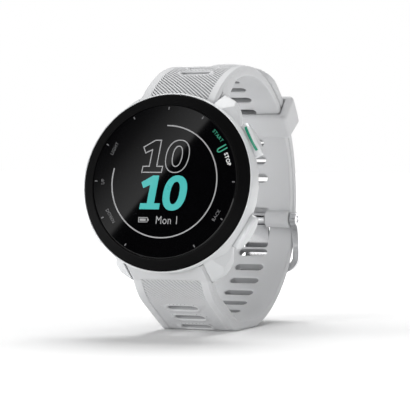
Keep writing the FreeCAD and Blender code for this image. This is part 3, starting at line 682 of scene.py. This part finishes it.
battery = [ribbon([(-5.75, -9.6), (-3.55, -9.6), (-3.55, -8.55), (-5.75, -8.55)], 0.16, True),
           polygon([(-5.5, -9.35), (-3.95, -9.35), (-3.95, -8.8), (-5.5, -8.8)]),
           polygon([(-3.42, -9.3), (-3.2, -9.3), (-3.2, -8.85), (-3.42, -8.85)])]
printed("battery_mark", battery, GREY)
mark_turn = math.radians(29.0)
bend = [math.radians(angle) for angle in range(0, 181, 20)]
hook = [(17.3, 0.42)] + [(15.35 - 0.55 * math.sin(b), 0.42 * math.cos(b)) for b in bend] + [(17.3, -0.42)]
u_pts = [(along * math.cos(mark_turn) - across * math.sin(mark_turn),
          along * math.sin(mark_turn) + across * math.cos(mark_turn)) for along, across in hook]
printed("start_mark", [ribbon(u_pts, 0.3)], MINT)


def label(name, text, size, x, u, turn, material, bold=0.0, squeeze=1.0, spacing=1.0):
    """Small printed word, centred at a place on the dial and turned anticlockwise."""
    curve = bpy.data.curves.new(name, "FONT")
    curve.body = text
    curve.size = size
    curve.offset = bold
    curve.space_character = spacing
    curve.align_x, curve.align_y = "CENTER", "CENTER"
    curve.extrude = INK / 2
    curve.resolution_u = 3
    maker = bpy.data.objects.new(name + "_text", curve)
    bpy.context.scene.collection.objects.link(maker)
    bpy.context.view_layer.update()
    mesh = bpy.data.meshes.new_from_object(maker.evaluated_get(bpy.context.evaluated_depsgraph_get()))
    bpy.data.objects.remove(maker)
    local = (Matrix.Translation((x, u, INK / 2)) @ Matrix.Rotation(math.radians(turn), 4, "Z")
             @ Matrix.Diagonal((squeeze, 1, 1, 1)))
    mesh.transform(HEAD_MATRIX @ Matrix.Diagonal((MM, MM, MM, 1)) @ local)
    mesh.name = name
    mesh.materials.clear()
    mesh.materials.append(material)
    obj = bpy.data.objects.new(name, mesh)
    bpy.context.scene.collection.objects.link(obj)
    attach(obj, "case")
    return obj


label("date_text", "Mon 1", 2.7, 1.45, -9.2, 0, GREY, 0.0, 0.80, 1.06)
label("label_start", "START", 1.2, 12.75, 10.75, -48, MINT, 0.0, 0.95, 1.12)
label("label_stop", "STOP", 1.3, 15.5, 5.3, -69, WHITE, 0.008, 0.95, 1.12)
label("label_light", "LIGHT", 1.15, -13.2, 7.75, 64, DIM, 0.0, 0.95, 1.08)
label("label_up", "UP", 1.15, -15.6, -0.15, 90, DIM, 0.0, 0.95, 1.08)
label("label_down", "DOWN", 1.15, -13.1, -8.3, -57, DIM, 0.0, 0.95, 1.08)
label("label_back", "BACK", 1.15, 13.7, -7.85, 60, DIM, 0.0, 0.95, 1.08)


# ------------------------------------------------------------------ stage
def plane_object(name, corners, material):
    mesh = bpy.data.meshes.new(name)
    mesh.from_pydata([list(c) for c in corners], [], [list(range(len(corners)))])
    mesh.materials.append(material)
    obj = bpy.data.objects.new(name, mesh)
    bpy.context.scene.collection.objects.link(obj)
    return obj


# floor with a painted glow: its emission rises with distance from the watch, from almost none under it to
# full white further out, so the soft shadow fades out
glowing_floor, tree, bsdf = principled("glowing_floor", (0.90, 0.90, 0.90), 0.8)
bumped(tree, bsdf, noise(tree, 400), 1e-5)
coords = tree.nodes.new("ShaderNodeTexCoord")
reach = tree.nodes.new("ShaderNodeVectorMath")
reach.operation = "LENGTH"
glow = tree.nodes.new("ShaderNodeMapRange")
for key, value in (("From Min", 0.03), ("From Max", 0.30), ("To Min", 0.02), ("To Max", 1.0)):
    glow.inputs[key].default_value = value
tree.links.new(coords.outputs["Object"], reach.inputs[0])
tree.links.new(reach.outputs["Value"], glow.inputs["Value"])
tree.links.new(glow.outputs["Result"], bsdf.inputs["Emission Strength"])
bsdf.inputs["Emission Color"].default_value = (1, 1, 1, 1)
plane_object("floor", [(-3, -3, 0), (3, -3, 0), (3, 3, 0), (-3, 3, 0)], glowing_floor)

white = bpy.data.materials.new("backdrop_white")
white.use_nodes = True
white.node_tree.nodes.clear()
shine = white.node_tree.nodes.new("ShaderNodeEmission")
sink = white.node_tree.nodes.new("ShaderNodeOutputMaterial")
white.node_tree.links.new(shine.outputs["Emission"], sink.inputs["Surface"])
CAMERA_ONLY = ("visible_diffuse", "visible_glossy", "visible_shadow", "visible_transmission",
               "visible_volume_scatter")
for side in range(4):
    turn = Matrix.Rotation(math.radians(90 * side), 3, "Z")
    wall = [turn @ Vector(c) for c in ((-2.9, 2.9, -0.5), (2.9, 2.9, -0.5), (2.9, 2.9, 4), (-2.9, 2.9, 4))]
    backdrop = plane_object("backdrop_%d" % side, wall, white)
    for flag in CAMERA_ONLY:
        setattr(backdrop, flag, False)

# a graded card that only reflections see: it draws the soft diagonal glare on the glass
EYE = DIAL + Vector((0.19688, -0.46081, 0.00809))
MIRROR_EYE = EYE - NORMAL * (2 * (EYE - DIAL).dot(NORMAL))
AWAY = (DIAL - MIRROR_EYE).normalized()
CARD_REACH = 0.45


def on_card(x, u):
    """Where the card is seen reflected at a place on the dial."""
    ray = (head(x, u) - MIRROR_EYE).normalized()
    t = (DIAL + AWAY * CARD_REACH - MIRROR_EYE).dot(AWAY) / ray.dot(AWAY)
    return MIRROR_EYE + ray * t


glare_a, glare_b = on_card(10.2, 14.8), on_card(-12.6, -12.6)
card_x = (glare_a - glare_b).normalized()
card_y = AWAY.cross(card_x).normalized()
if (on_card(-10, 10) - glare_a).dot(card_y) < 0:
    card_y = -card_y
card_mid = (glare_a + glare_b) / 2
card_material = bpy.data.materials.new("glare_card")
card_material.use_nodes = True
tree = card_material.node_tree
tree.nodes.clear()
coords = tree.nodes.new("ShaderNodeTexCoord")
split = tree.nodes.new("ShaderNodeSeparateXYZ")
curve = tree.nodes.new("ShaderNodeValToRGB")
emit = tree.nodes.new("ShaderNodeEmission")
out = tree.nodes.new("ShaderNodeOutputMaterial")
remap = tree.nodes.new("ShaderNodeMapRange")
remap.inputs["From Min"].default_value = -0.01
remap.inputs["From Max"].default_value = 0.040
tree.links.new(coords.outputs["Object"], split.inputs["Vector"])
tree.links.new(split.outputs["Y"], remap.inputs["Value"])
tree.links.new(remap.outputs["Result"], curve.inputs["Fac"])
tree.links.new(curve.outputs["Color"], emit.inputs["Color"])
tree.links.new(emit.outputs["Emission"], out.inputs["Surface"])
elements = curve.color_ramp.elements
elements[0].position, elements[0].color = 0.19, (0, 0, 0, 1)
elements[1].position, elements[1].color = 0.205, (1.0, 1.0, 1.0, 1)
for position, level in ((0.40, 0.60), (0.60, 0.13), (0.75, 0.02), (1.0, 0.0)):
    element = elements.new(position)
    element.color = (level, level, level, 1)
emit.inputs["Strength"].default_value = 0.85
card = plane_object("glare_card", [(-0.3, -0.25, 0), (0.3, -0.25, 0), (0.3, 0.30, 0), (-0.3, 0.30, 0)],
                    card_material)
card.matrix_world = Matrix((
    (card_x.x, card_y.x, AWAY.x, card_mid.x), (card_x.y, card_y.y, AWAY.y, card_mid.y),
    (card_x.z, card_y.z, AWAY.z, card_mid.z), (0, 0, 0, 1)))
for flag in ("visible_camera", "visible_diffuse", "visible_shadow", "visible_transmission",
             "visible_volume_scatter"):
    setattr(card, flag, False)


def area_light(name, at, aim, width, height, power, color=(1, 1, 1)):
    data = bpy.data.lights.new(name, "AREA")
    data.shape = "RECTANGLE"
    data.size, data.size_y, data.energy, data.color = width, height, power, color
    obj = bpy.data.objects.new(name, data)
    bpy.context.scene.collection.objects.link(obj)
    obj.location = at
    obj.rotation_euler = (Vector(aim) - Vector(at)).to_track_quat("-Z", "Y").to_euler()
    return obj


CENTRE = (0, 0, 0.033)
area_light("top_back", (-0.05, 0.38, 0.72), CENTRE, 0.55, 0.45, 4.9)
area_light("key_left", (-0.65, -0.55, 0.50), CENTRE, 0.45, 0.5, 2.0)
area_light("fill_low", (-0.30, -0.85, 0.12), CENTRE, 0.6, 0.2, 4.2)
area_light("fill_right", (0.80, 0.05, 0.25), CENTRE, 0.4, 0.4, 0.9)

world = bpy.data.worlds.new("studio")
bpy.context.scene.world = world
world.use_nodes = True
world.node_tree.nodes["Background"].inputs["Color"].default_value = (1, 1, 1, 1)
world.node_tree.nodes["Background"].inputs["Strength"].default_value = 0.24

# ------------------------------------------------------------------ camera
camera_data = bpy.data.cameras.new("camera")
camera_data.sensor_width = 36.0
camera_data.lens = 188.8
camera_data.clip_start, camera_data.clip_end = 0.01, 20
camera = bpy.data.objects.new("camera", camera_data)
bpy.context.scene.collection.objects.link(camera)
camera.location = EYE
camera.rotation_mode = "XYZ"
camera.rotation_euler = Euler((math.radians(90 - 1.553), 0, math.radians(22.04)), "XYZ")
bpy.context.scene.camera = camera
bpy.context.scene.view_settings.view_transform = "Standard"
